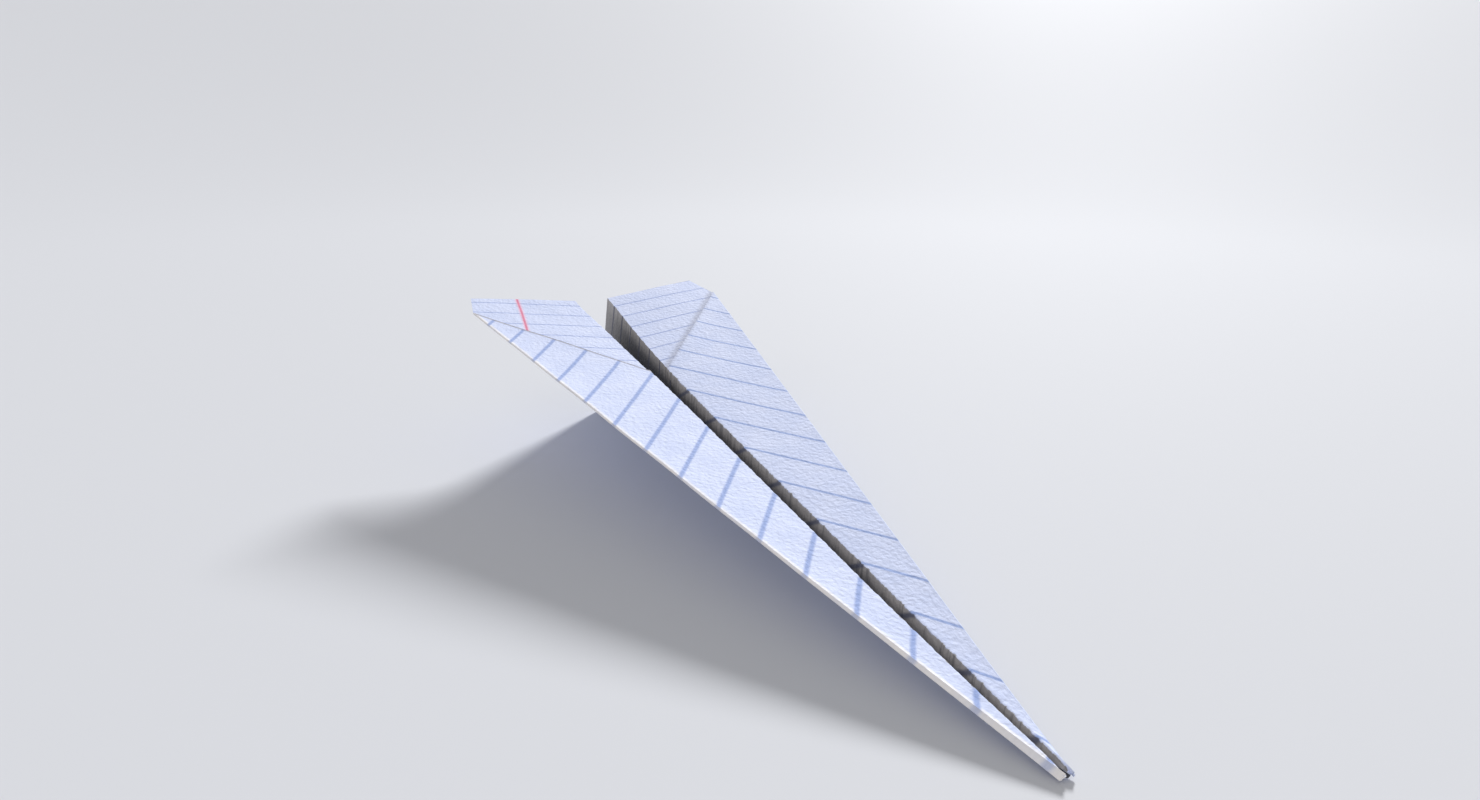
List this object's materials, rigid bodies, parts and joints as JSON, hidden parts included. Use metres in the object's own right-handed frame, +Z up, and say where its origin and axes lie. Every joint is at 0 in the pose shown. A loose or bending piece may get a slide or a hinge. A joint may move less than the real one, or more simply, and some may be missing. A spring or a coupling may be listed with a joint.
{
  "type": "paper airplane",
  "caption": "Pointed paper dart folded from a sheet of ruled letter paper, with a keel that opens along its bottom crease and wings that fold at their roots.",
  "frame": {"origin": "bottom centre of the dart at rest: on the underside of the keel's bottom crease, halfway along and halfway across", "axes": "-Y towards the nose, +Y towards the tail, +X towards the dart's left wing, +Z up"},
  "size_m": [0.1116, 0.2878, 0.0542],
  "materials": {
    "paper": "matt uncoated white writing paper with a cool tint, fine fibrous grain, blue ruled lines and one pink margin line"
  },
  "bodies": {
    "keel_right": {"keel_fold": "paper", "right_keel_base": "paper", "right_keel_lower_corner": "paper", "right_keel_upper_corner": "paper", "right_keel_flap": "paper", "right_corner_crease": "paper", "right_wing_crease": "paper"},
    "keel_left": {"left_keel_base": "paper", "left_keel_lower_corner": "paper", "left_keel_upper_corner": "paper", "left_keel_flap": "paper", "left_corner_crease": "paper", "left_wing_crease": "paper"},
    "wing_left": {"left_wing_base": "paper", "left_wing_lower_corner": "paper", "left_wing_upper_corner": "paper", "left_wing_flap": "paper", "left_leading_edge": "paper", "left_inner_leading_edge": "paper"},
    "wing_right": {"right_wing_base": "paper", "right_wing_lower_corner": "paper", "right_wing_upper_corner": "paper", "right_wing_flap": "paper", "right_leading_edge": "paper", "right_inner_leading_edge": "paper"}
  },
  "joints": [
    {"name": "keel_open", "type": "hinge", "parent": "keel_right", "child": "keel_left", "pos_m": [0, -0.14629, 0.00088], "axis": [0, 1, 0], "range_deg": [-6, 40], "stiffness_Nm_per_rad": 0.01},
    {"name": "wing_left_fold", "type": "hinge", "parent": "keel_left", "child": "wing_left", "pos_m": [0.00097, -0.14629, 0.00076], "axis": [-0.0204, -0.9854, -0.169], "range_deg": [-97, 45], "stiffness_Nm_per_rad": 0.005},
    {"name": "wing_right_fold", "type": "hinge", "parent": "keel_right", "child": "wing_right", "pos_m": [-0.00097, -0.14629, 0.00076], "axis": [-0.0204, 0.9854, 0.169], "range_deg": [-97, 45], "stiffness_Nm_per_rad": 0.005}
  ]
}
